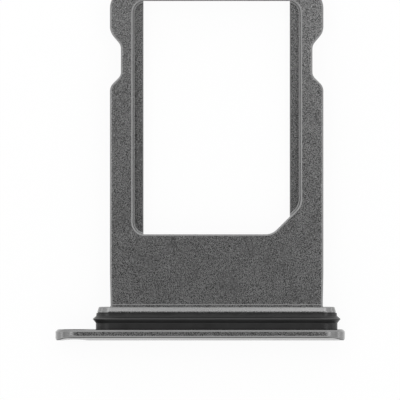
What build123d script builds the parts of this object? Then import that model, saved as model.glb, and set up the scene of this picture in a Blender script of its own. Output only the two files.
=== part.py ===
from build123d import *
import os

# Nano-size SIM card tray, in millimetres.
# The tray is one machined and anodised aluminium piece: a flat frame that carries the card,
# a collar and neck behind it, and the faceplate that closes the opening in the device.
# A rubber gasket sits round the neck, between the collar and the faceplate.
# The model is drawn with X = 0 on the card's centre line, Y = 0 on the inner face of the
# faceplate with +Y into the device, and Z = 0 at mid height. Last, it is moved so that the
# origin is the middle of the underside of its bounding box.

# Card and its pocket
card_length = 12.3
card_width = 8.8
card_clearance = 0.05
pocket_depth = 0.7
pocket_corner_radius = 0.65
pocket_corner_cut = 1.51
pocket_cut_radius = 0.85
pocket_floor_radius = 0.1
ledge_width = 0.56
ledge_break = 0.05

# Frame
frame_thickness = 1.0
rail_width = 1.21
end_wall = 0.65
root_panel = 3.855
frame_corner_radius = 1.05
frame_edge_radius = 0.1
edge_break = 0.08
break_angle = 45
root_taper = 0.035
root_taper_length = 1.8
root_foot_radius = 0.07

# Notch in each side for the holding spring
notch_depth = 0.58
notch_to_end = 2.33
notch_flat = 1.61
notch_far_ramp = 0.69
notch_near_ramp = 0.58
notch_far_radius = 0.55
notch_far_mouth_radius = 0.8
notch_near_radius = 0.46
notch_near_mouth_radius = 0.58

# Land, collar and neck
land_length = 0.155
land_rise = 0.035
collar_length = 0.315
collar_rim = 0.09
collar_rise = 0.065
collar_overhang = 0.6
collar_draft = 16.5
collar_edge_radius = 0.045
neck_length = 0.885
neck_drop = 0.08

# Gasket
gasket_wall = 0.3
gasket_foot_radius = 0.04
rib_height = 0.17
rib_start = 0.355
rib_tip = 0.565
rib_end = 0.725
rib_foot_radius = 0.06
rib_tip_radius = 0.035
lip_drop = 0.02
lip_end_drop = 0.035

# Faceplate
plate_height = 2.08
plate_rim = 0.37
plate_crown = 0.2
plate_margin = 0.39
eject_reach = 2.135
plate_inner_break = 0.1
plate_outer_radius = 0.1

# Eject hole, on the axis of the faceplate's left end
eject_hole_radius = 0.575
eject_hole_countersink = 0.1

# Sizes and places that follow from those above
pocket_length = card_length + 2 * card_clearance
pocket_width = card_width + 2 * card_clearance
window_width = pocket_width - 2 * ledge_width
frame_width = pocket_width + 2 * rail_width
root_side = frame_width / 2 - root_taper
frame_top = frame_thickness / 2
pocket_floor = frame_top - pocket_depth

collar_front = neck_length + collar_length
pocket_near = collar_front + root_panel
pocket_far = pocket_near + pocket_length
frame_end = pocket_far + end_wall

collar_height = frame_thickness + 2 * collar_rise
collar_width = frame_width + 2 * collar_overhang
neck_height = frame_thickness - 2 * neck_drop
neck_width = collar_width - collar_height + neck_height
gasket_width = neck_width + 2 * gasket_wall

plate_right = gasket_width / 2 + plate_margin
plate_left = -gasket_width / 2 - eject_reach
plate_length = plate_right - plate_left
plate_centre = (plate_left + plate_right) / 2
plate_depth = plate_rim + plate_crown
eject_hole_x = plate_left + plate_height / 2


def outline(*corners):
    """A closed outline from corners given as (x, y, radius of the round there)."""
    face = make_face(Polyline(*[(x, y) for x, y, radius in corners], close=True))
    for x, y, radius in corners:
        if radius:
            corner = face.vertices().sort_by_distance((x, y, 0))[0]
            face = fillet(corner, radius)
    return face


def slot_across(width, height, y, centre=0):
    """A slot outline that lies across the tray and faces the faceplate, at the given y."""
    plane = Plane(origin=(centre, y, 0), x_dir=(1, 0, 0), z_dir=(0, -1, 0))
    return plane * SlotOverall(width, height)


def frame_outline():
    """The frame's plan: sides that taper to the root inside the collar, with a notch each."""
    side = frame_width / 2
    notch_far = frame_end - notch_to_end - notch_far_ramp
    notch_near = notch_far - notch_flat
    half = outline(
        (0, neck_length, 0),
        (root_side, neck_length, 0),
        (root_side, collar_front, 0),
        (side, collar_front + root_taper_length, 0),
        (side, notch_near - notch_near_ramp, notch_near_mouth_radius),
        (side - notch_depth, notch_near, notch_near_radius),
        (side - notch_depth, notch_far, notch_far_radius),
        (side, notch_far + notch_far_ramp, notch_far_mouth_radius),
        (side, frame_end, frame_corner_radius),
        (0, frame_end, 0),
    )
    return half + mirror(half, about=Plane.YZ)


def pocket_outline():
    """The card's outline with its clearance. The cut corner is at the right, by the collar."""
    side = pocket_width / 2
    return outline(
        (-side, pocket_near, pocket_corner_radius),
        (side - pocket_corner_cut, pocket_near, pocket_cut_radius),
        (side, pocket_near + pocket_corner_cut, pocket_cut_radius),
        (side, pocket_far, pocket_corner_radius),
        (-side, pocket_far, pocket_corner_radius),
    )


def window_outline(margin=0):
    """The part of the pocket's outline between its ledges, made wider by the margin."""
    return pocket_outline() & Rectangle(window_width + 2 * margin, 2 * frame_end)


def make_frame():
    """The flat frame, with the card's pocket, the window below it and the two ledges."""
    frame = extrude(Plane.XY.offset(-frame_top) * frame_outline(), frame_thickness)
    frame = fillet(frame.faces().filter_by(Axis.Z).edges(), frame_edge_radius)

    pocket = extrude(Plane.XY.offset(pocket_floor) * pocket_outline(), 2 * pocket_depth)
    pocket = fillet(pocket.faces().sort_by(Axis.Z)[0].edges(), pocket_floor_radius)
    frame -= pocket
    frame = chamfer(frame.faces().sort_by(Axis.Z)[-1].inner_wires()[0].edges(), edge_break)

    floor = Plane.XY.offset(pocket_floor)
    underside = Plane.XY.offset(-frame_top)
    window = window_outline()
    frame -= extrude(window, frame_thickness, both=True)
    frame -= extrude(floor * window_outline(ledge_break), -ledge_break, taper=break_angle)
    frame -= extrude(underside * offset(window, edge_break), edge_break, taper=break_angle)
    return frame


def make_foot():
    """The small round where each side of the frame runs into the collar."""
    side = root_side + 2 * root_foot_radius
    plan = outline(
        (0, neck_length, 0),
        (side, neck_length, 0),
        (side, collar_front, 0),
        (root_side, collar_front, root_foot_radius),
        (root_side, collar_front + 2 * root_foot_radius, 0),
        (0, collar_front + 2 * root_foot_radius, 0),
    )
    foot = extrude(plan, frame_top - frame_edge_radius, both=True)
    return foot + mirror(foot, about=Plane.YZ)


def make_land():
    """The narrow land at the foot of the collar, which stands just proud of both faces."""
    far = collar_front + land_length
    top = frame_top + land_rise
    section = outline(
        (neck_length, -top, 0),
        (far - land_rise, -top, 0),
        (far, -frame_top, 0),
        (far, frame_top, 0),
        (far - land_rise, top, 0),
        (neck_length, top, 0),
    )
    return extrude(Plane.YZ * section, root_side - frame_edge_radius, both=True)


def make_collar():
    """The collar, which grows wider towards a straight rim beside the gasket. Its edges are eased."""
    front = slot_across(collar_width, collar_height, collar_front)
    slope = extrude(front, collar_length - collar_rim, taper=-collar_draft)
    rim = extrude(slope.faces().sort_by(Axis.Y)[0], collar_rim)
    collar = slope + rim
    ends = collar.faces().sort_by(Axis.Y)
    return fillet(ends[-1].edges() + ends[0].edges(), collar_edge_radius)


def make_neck():
    """The neck that the gasket sits on, from inside the collar to inside the faceplate."""
    start = slot_across(neck_width, neck_height, neck_length + collar_length / 2)
    return extrude(start, neck_length + collar_length / 2 + plate_rim / 2)


def make_faceplate():
    """The faceplate: round ends, a crowned outer face, softened rims and the eject hole."""
    blank = extrude(slot_across(plate_length, plate_height, 0, plate_centre), plate_depth)
    half_height = plate_height / 2
    crown_radius = (half_height**2 + plate_crown**2) / (2 * plate_crown)
    crown = Cylinder(crown_radius, 2 * plate_length, rotation=(0, 90, 0))
    plate = blank & Pos(plate_centre, crown_radius - plate_depth, 0) * crown
    outer_rim = plate.edges().filter_by(lambda edge: edge.center().Y < -plate_rim / 2)
    plate = fillet(outer_rim, plate_outer_radius)
    inner_rim = plate.faces().sort_by(Axis.Y)[-1].edges()
    plate = chamfer(inner_rim, plate_inner_break)

    bore = Cylinder(eject_hole_radius, 4 * plate_depth, rotation=(90, 0, 0))
    countersink = Cone(
        eject_hole_radius,
        eject_hole_radius + 2 * eject_hole_countersink,
        2 * eject_hole_countersink,
        rotation=(90, 0, 0),
    )
    hole = bore + Pos(0, -plate_depth, 0) * countersink
    return plate - Pos(eject_hole_x, 0, 0) * hole


def make_gasket():
    """The rubber ring: its profile, drawn beside the neck's right end, swept round the neck.

    The profile runs from the faceplate over a flat band and the sealing rib to a sloped lip
    that ends level with the collar's rear edge.
    """
    profile = outline(
        (0, 0, 0),
        (gasket_wall, 0, gasket_foot_radius),
        (gasket_wall, rib_start, rib_foot_radius),
        (gasket_wall + rib_height, rib_tip, rib_tip_radius),
        (gasket_wall - lip_drop, rib_end, rib_foot_radius),
        (gasket_wall - lip_end_drop, neck_length, 0),
        (0, neck_length, 0),
    )
    neck_line = slot_across(neck_width, neck_height, 0).face().outer_wire()
    return sweep(Pos(neck_width / 2, 0, 0) * profile, path=neck_line)


tray = make_frame() + make_foot() + make_land() + make_collar() + make_neck() + make_faceplate()
gasket = make_gasket()

# The finished pieces, moved to the frame that they are written in
to_origin = Pos(-plate_centre, -(frame_end - plate_depth) / 2, plate_height / 2)
os.makedirs("parts", exist_ok=True)
export_step(to_origin * tray, "parts/tray.step")
export_step(to_origin * gasket, "parts/gasket.step")
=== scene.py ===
import math

import bpy
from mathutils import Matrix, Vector

# Looks of the card tray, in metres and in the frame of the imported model.
# The tray is blasted and anodised aluminium, the gasket is moulded black silicone rubber.
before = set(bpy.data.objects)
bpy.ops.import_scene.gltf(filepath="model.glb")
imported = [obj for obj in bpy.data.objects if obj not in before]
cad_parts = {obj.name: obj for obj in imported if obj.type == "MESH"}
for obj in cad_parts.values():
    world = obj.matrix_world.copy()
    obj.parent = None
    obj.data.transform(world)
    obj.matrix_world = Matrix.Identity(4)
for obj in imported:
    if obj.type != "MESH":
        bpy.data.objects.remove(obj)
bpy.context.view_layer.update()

# Camera: straight above, as far away as a long product lens
picture_width = 0.02122
picture_centre_x = -0.0000107
picture_centre_y = -0.0018894
focus_height = 0.00125
camera_distance = 0.3
sensor_width = 36.0
clip_start = 0.003
clip_end = 6.0

# Floor: its paper, and how near to plain white the camera and the reflections see it
floor_size = 6.0
floor_colour = (0.82, 0.82, 0.82)
floor_roughness = 0.9
floor_glow = 0.93

# Studio light: how bright the four walls of the white tent round the tray are, at tilts in
# degrees from straight above down to the floor
tent_tilts = (0, 18, 36, 54, 72, 90)
far_wall = (0.12, 0.2, 0.6, 1.5, 1.7, 1.4)
near_wall = (0.12, 1.0, 1.3, 1.0, 1.4, 1.0)
side_wall = (0.12, 0.5, 0.7, 1.1, 0.5, 2.4)
wall_fading = 2
tent_walls = (
    ((0, 1), far_wall),
    ((0, -1), near_wall),
    ((1, 0), side_wall),
    ((-1, 0), side_wall),
)

# Two soft lamps above the far end, so near that their light falls off towards the faceplate.
# Each has its turn from the +X side and its power in watts.
lamp_width = 0.056
lamp_height = 0.021
lamp_distance = 0.07
lamp_tilt = math.radians(24)
lamps = {"lamp_right": (math.radians(30), 0.0092), "lamp_left": (math.radians(150), 0.008)}

# Noise: its grid's turn in radians, how its finer layers fade, how many there are on each kind
# of surface, and the range that large patches take
noise_turn = (0.6, 0.4, 0.8)
noise_roughness = 0.5
fine_detail = 1.0
skin_detail = 2.0
patch_detail = 3.0
patch_range = (0.3, 0.7)

# Textures are laid out in millimetres
millimetres_per_metre = 1000

# Blasted and anodised metal: sizes in millimetres, the grain's depth in metres
grain_size = 0.05
grain_depth = 0.000008
grain_range = (0.25, 0.75)
speck_size = 0.045
speck_range = (0.36, 0.64)
wear_size = 0.9
flat_tones = (0.02, 0.27)
edge_tones = (0.155, 0.19)
metal_roughness = (0.26, 0.31)
film_ior = 1.75
film_roughness = 0.27
flat_film = 0.2
flat_grazing = 0.3

# Where the metal's finish changes and where shade and highlights are painted on it: places in
# millimetres, and parts of the surface's normal
flat_facing = (0.985, 0.999)
crown_facing = (-0.955, -0.945)
side_facing = (-0.8, -0.75)
# The faceplate's rim line and the eject hole's ring are painted shade
rim_place = (-9.12, -9.08)
rim_shade_tone = 0.05
hole_x = -6.6355
hole_z = 1.04
hole_reach = (0.66, 0.69)
hole_shade = 0.75
# The pocket's ledges get painted shade, and its top bevel a painted highlight
ledge_facing = (0.5, 0.6)
ledge_height = (0.86, 0.92)
ledge_shade_tone = 0.85
bevel_facing = math.cos(math.radians(45))
bevel_match = (0.01, 0.02)
bevel_height = 1.5
bevel_reach = (0.045, 0.05)
bevel_highlight_tone = 1.22

# Rubber: sizes and places in millimetres, the grain's depth in metres
rubber_tone = 0.004
rubber_ior = 1.47
rubber_roughness = (0.3, 0.4)
rubber_patch_size = 0.5
rubber_grain_size = 0.08
rubber_grain_depth = 0.000002
# The rib's painted highlight: its place, its reach and its tone
rib_highlight_place = -8.172
rib_highlight_reach = (0.01, 0.025)
rib_highlight_tone = 0.05


def make_camera():
    """The camera looks straight down, with the far side of the tray at the picture's top."""
    data = bpy.data.cameras.new("camera")
    data.sensor_width = sensor_width
    data.lens = sensor_width * camera_distance / picture_width
    data.clip_start = clip_start
    data.clip_end = clip_end
    camera = bpy.data.objects.new("camera", data)
    camera.location = (picture_centre_x, picture_centre_y, focus_height + camera_distance)
    bpy.context.scene.collection.objects.link(camera)
    bpy.context.scene.camera = camera


def feed(tree, value, socket):
    """Sets a socket to a number, or links it to another node's output."""
    if isinstance(value, (int, float)):
        socket.default_value = value
    else:
        tree.links.new(value, socket)


def combine(tree, operation, first, second=0):
    """The result of an operation on one or two values."""
    node = tree.nodes.new("ShaderNodeMath")
    node.operation = operation
    feed(tree, first, node.inputs[0])
    feed(tree, second, node.inputs[1])
    return node.outputs["Value"]


def blend(tree, amount, first, second):
    """The first value where the amount is 0 and the second where it is 1."""
    node = tree.nodes.new("ShaderNodeMix")
    node.data_type = "FLOAT"
    feed(tree, first, node.inputs["A"])
    feed(tree, second, node.inputs["B"])
    feed(tree, amount, node.inputs["Factor"])
    return node.outputs["Result"]


def spread(tree, value, old_range, new_range):
    """The value's old range, spread to the new range and held within it."""
    node = tree.nodes.new("ShaderNodeMapRange")
    node.inputs["From Min"].default_value = old_range[0]
    node.inputs["From Max"].default_value = old_range[1]
    node.inputs["To Min"].default_value = new_range[0]
    node.inputs["To Max"].default_value = new_range[1]
    feed(tree, value, node.inputs["Value"])
    return node.outputs["Result"]


def vector_math(tree, operation, vector, *constants):
    """The outputs of an operation on a vector, with constant vectors for its further inputs."""
    node = tree.nodes.new("ShaderNodeVectorMath")
    node.operation = operation
    feed(tree, vector, node.inputs[0])
    for place, constant in enumerate(constants, start=1):
        node.inputs[place].default_value = constant
    return node.outputs


def coordinate(tree, name):
    """One of the surface's own coordinates, such as its place on the object or its normal."""
    return tree.nodes.new("ShaderNodeTexCoord").outputs[name]


def separate(tree, vector):
    """A vector's parts, by the names X, Y and Z."""
    node = tree.nodes.new("ShaderNodeSeparateXYZ")
    feed(tree, vector, node.inputs[0])
    return node.outputs


def near(tree, value, centre, reach):
    """1 where the value lies close to the centre, fading to 0 over the reach."""
    away = combine(tree, "SUBTRACT", value, centre)
    away = combine(tree, "ABSOLUTE", away)
    return spread(tree, away, reach, (1, 0))


def wall_light(tree, heading, tilt, facing, brightness):
    """One wall's share of the tent's light, which fades out towards its two neighbours."""
    towards_x = combine(tree, "MULTIPLY", heading["X"], facing[0])
    towards_y = combine(tree, "MULTIPLY", heading["Y"], facing[1])
    towards = combine(tree, "ADD", towards_x, towards_y)
    towards = combine(tree, "MAXIMUM", towards, 0)
    share = combine(tree, "POWER", towards, wall_fading)

    ramp = tree.nodes.new("ShaderNodeValToRGB")
    ramp.color_ramp.interpolation = "LINEAR"
    stops = ramp.color_ramp.elements
    for place in tent_tilts[1:-1]:
        stops.new(place / tent_tilts[-1])
    for stop, value in zip(stops, brightness):
        stop.color = (value, value, value, 1)
    feed(tree, tilt, ramp.inputs["Fac"])
    return combine(tree, "MULTIPLY", share, ramp.outputs["Color"])


def make_tent():
    """A white tent that lights the tray, plain white where the camera looks past the floor."""
    world = bpy.data.worlds.new("tent")
    bpy.context.scene.world = world
    world.use_nodes = True
    tree = world.node_tree
    background = tree.nodes["Background"]
    background.inputs["Color"].default_value = (1, 1, 1, 1)

    direction = coordinate(tree, "Generated")
    tilt = combine(tree, "ARCCOSINE", separate(tree, direction)["Z"])
    tilt = combine(tree, "DIVIDE", tilt, math.pi / 2)
    level = vector_math(tree, "MULTIPLY", direction, (1, 1, 0))["Vector"]
    heading = separate(tree, vector_math(tree, "NORMALIZE", level)["Vector"])
    light = 0
    for facing, brightness in tent_walls:
        light = combine(tree, "ADD", wall_light(tree, heading, tilt, facing, brightness), light)
    rays = tree.nodes.new("ShaderNodeLightPath")
    strength = blend(tree, rays.outputs["Is Camera Ray"], light, 1.0)
    feed(tree, strength, background.inputs["Strength"])


def make_lamps():
    """The two soft lamps, which the camera doesn't see."""
    for name, (turn, power) in lamps.items():
        data = bpy.data.lights.new(name, "AREA")
        data.shape = "RECTANGLE"
        data.size = lamp_width
        data.size_y = lamp_height
        data.energy = power
        lamp = bpy.data.objects.new(name, data)
        level = math.sin(lamp_tilt)
        towards = Vector((math.cos(turn) * level, math.sin(turn) * level, math.cos(lamp_tilt)))
        lamp.location = lamp_distance * towards
        lamp.rotation_euler = (-towards).to_track_quat("-Z", "Y").to_euler()
        lamp.visible_camera = False
        bpy.context.scene.collection.objects.link(lamp)


def make_floor():
    """A pale floor that the camera sees as nearly white, with the tray's soft shadow on it."""
    half = floor_size / 2
    mesh = bpy.data.meshes.new("floor")
    corners = [(-half, -half, 0), (half, -half, 0), (half, half, 0), (-half, half, 0)]
    mesh.from_pydata(corners, [], [(0, 1, 2, 3)])
    floor = bpy.data.objects.new("floor", mesh)
    bpy.context.scene.collection.objects.link(floor)

    material = bpy.data.materials.new("floor_paper")
    material.use_nodes = True
    tree = material.node_tree
    paper = tree.nodes["Principled BSDF"]
    paper.inputs["Base Color"].default_value = (*floor_colour, 1)
    paper.inputs["Roughness"].default_value = floor_roughness
    paper.inputs["Specular IOR Level"].default_value = 0.0
    white = tree.nodes.new("ShaderNodeEmission")
    rays = tree.nodes.new("ShaderNodeLightPath")
    seen = combine(tree, "MAXIMUM", rays.outputs["Is Camera Ray"], rays.outputs["Is Glossy Ray"])
    mixed = tree.nodes.new("ShaderNodeMixShader")
    feed(tree, combine(tree, "MULTIPLY", seen, floor_glow), mixed.inputs["Fac"])
    feed(tree, paper.outputs["BSDF"], mixed.inputs[1])
    feed(tree, white.outputs["Emission"], mixed.inputs[2])
    feed(tree, mixed.outputs["Shader"], tree.nodes["Material Output"].inputs["Surface"])
    mesh.materials.append(material)


def place_in_millimetres(tree):
    """The place on the object in millimetres, so that the textures' scales are real sizes."""
    scale = (millimetres_per_metre, millimetres_per_metre, millimetres_per_metre)
    return vector_math(tree, "MULTIPLY", coordinate(tree, "Object"), scale)["Vector"]


def noise(tree, place, size, detail):
    """Noise with spots of about the given size, from 0 to 1, its own grid turned off the faces."""
    turned = tree.nodes.new("ShaderNodeVectorRotate")
    turned.rotation_type = "EULER_XYZ"
    turned.inputs["Rotation"].default_value = noise_turn
    feed(tree, place, turned.inputs["Vector"])
    node = tree.nodes.new("ShaderNodeTexNoise")
    node.inputs["Scale"].default_value = 1 / size
    node.inputs["Detail"].default_value = detail
    node.inputs["Roughness"].default_value = noise_roughness
    feed(tree, turned.outputs["Vector"], node.inputs["Vector"])
    return node.outputs["Fac"]


def flatness(tree):
    """1 on the blasted faces, which lie square to an axis, and 0 on the edges and rounds."""
    size = vector_math(tree, "ABSOLUTE", coordinate(tree, "Normal"))["Vector"]
    parts = separate(tree, size)
    largest = combine(tree, "MAXIMUM", parts["X"], parts["Y"])
    largest = combine(tree, "MAXIMUM", largest, parts["Z"])
    return spread(tree, largest, flat_facing, (0, 1))


def crown_rim_shade(tree, place):
    """1 along the fine line of painted shade where the faceplate's crowned outer face starts, and 0
    elsewhere.
    """
    facing = separate(tree, coordinate(tree, "Normal"))["Y"]
    off_crown = spread(tree, facing, crown_facing, (0, 1))
    off_side = spread(tree, facing, side_facing, (1, 0))
    outside = spread(tree, separate(tree, place)["Y"], rim_place, (1, 0))
    return combine(tree, "MULTIPLY", combine(tree, "MULTIPLY", off_crown, off_side), outside)


def hole_shade_ring(tree, place):
    """How much painted shade darkens the eject hole and its countersink, and 0 elsewhere."""
    offset = vector_math(tree, "MULTIPLY_ADD", place, (1, 0, 1), (-hole_x, 0, -hole_z))["Vector"]
    away = vector_math(tree, "LENGTH", offset)["Value"]
    return spread(tree, away, hole_reach, (hole_shade, 0))


def ledge_shade(tree, place):
    """1 on the upward faces down in the pocket, where shade is painted, else 0."""
    upward = spread(tree, separate(tree, coordinate(tree, "Normal"))["Z"], ledge_facing, (0, 1))
    low = spread(tree, separate(tree, place)["Z"], ledge_height, (1, 0))
    return combine(tree, "MULTIPLY", upward, low)


def bevel_highlight(tree, place):
    """1 on the small bevel round the pocket's top edge, where a highlight is painted, and 0
    elsewhere.
    """
    facing = separate(tree, coordinate(tree, "Normal"))["Z"]
    sloped = near(tree, facing, bevel_facing, bevel_match)
    level = near(tree, separate(tree, place)["Z"], bevel_height, bevel_reach)
    return combine(tree, "MULTIPLY", sloped, level)


def bumps(tree, shader, height, depth):
    """Raises the surface by the height, up to the given depth in metres, and returns its normal."""
    bump = tree.nodes.new("ShaderNodeBump")
    bump.inputs["Strength"].default_value = 1.0
    bump.inputs["Distance"].default_value = depth
    feed(tree, height, bump.inputs["Height"])
    feed(tree, bump.outputs["Normal"], shader.inputs["Normal"])
    return bump.outputs["Normal"]


def make_metal():
    """Grey anodised aluminium: a fine blasted grain, smoother and lighter edges, painted shade in
    places and a painted highlight on the pocket's bevel.
    """
    material = bpy.data.materials.new("anodised_aluminium")
    material.use_nodes = True
    tree = material.node_tree
    shader = tree.nodes["Principled BSDF"]
    place = place_in_millimetres(tree)
    flat = flatness(tree)
    # Painted shade: the crown's rim line and the eject hole's ring are dark and not metallic
    painted_shade = combine(tree, "MAXIMUM", crown_rim_shade(tree, place), hole_shade_ring(tree, place))
    unshaded = combine(tree, "SUBTRACT", 1, painted_shade)
    feed(tree, unshaded, shader.inputs["Metallic"])

    # The clear film over the metal shines less on the blasted faces
    film = combine(tree, "MULTIPLY", unshaded, blend(tree, flat, 1.0, flat_film))
    feed(tree, film, shader.inputs["Coat Weight"])
    shader.inputs["Coat IOR"].default_value = film_ior
    shader.inputs["Coat Roughness"].default_value = film_roughness
    feed(tree, blend(tree, flat, 1.0, flat_grazing), shader.inputs["Specular Tint"])
    shader.inputs["Specular IOR Level"].default_value = 0.0

    # Tone: specks on the faces, a finer change on the edges, painted shade on the ledges and a
    # painted highlight on the pocket's bevel
    grain = noise(tree, place, grain_size, fine_detail)
    speck = noise(tree, place, speck_size, fine_detail)
    flat_tone = spread(tree, speck, speck_range, flat_tones)
    edge_tone = spread(tree, grain, grain_range, edge_tones)
    tone = blend(tree, flat, edge_tone, flat_tone)
    tone = combine(tree, "MULTIPLY", tone, blend(tree, ledge_shade(tree, place), 1.0, ledge_shade_tone))
    tone = combine(tree, "MULTIPLY", tone, blend(tree, bevel_highlight(tree, place), 1.0, bevel_highlight_tone))
    # The painted shade takes the dark rim tone
    feed(tree, blend(tree, painted_shade, tone, rim_shade_tone), shader.inputs["Base Color"])

    wear = noise(tree, place, wear_size, patch_detail)
    feed(tree, spread(tree, wear, patch_range, metal_roughness), shader.inputs["Roughness"])
    grained = bumps(tree, shader, combine(tree, "MULTIPLY", flat, grain), grain_depth)
    feed(tree, grained, shader.inputs["Coat Normal"])
    return material


def make_rubber():
    """Black silicone rubber with a satin skin and a painted highlight along the rib."""
    material = bpy.data.materials.new("silicone_rubber")
    material.use_nodes = True
    tree = material.node_tree
    shader = tree.nodes["Principled BSDF"]
    shader.inputs["IOR"].default_value = rubber_ior
    place = place_in_millimetres(tree)
    # Painted highlight along the rib
    rib_highlight = near(tree, separate(tree, place)["Y"], rib_highlight_place, rib_highlight_reach)
    feed(tree, blend(tree, rib_highlight, rubber_tone, rib_highlight_tone), shader.inputs["Base Color"])
    patches = noise(tree, place, rubber_patch_size, patch_detail)
    feed(tree, spread(tree, patches, patch_range, rubber_roughness), shader.inputs["Roughness"])
    skin = noise(tree, place, rubber_grain_size, skin_detail)
    bumps(tree, shader, skin, rubber_grain_depth)
    return material


def dress(node, material):
    """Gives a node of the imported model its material, in every slot of its mesh."""
    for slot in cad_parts[node].material_slots:
        slot.material = material


bpy.context.scene.view_settings.view_transform = "Standard"
make_camera()
make_tent()
make_lamps()
make_floor()
dress("tray", make_metal())
dress("gasket", make_rubber())
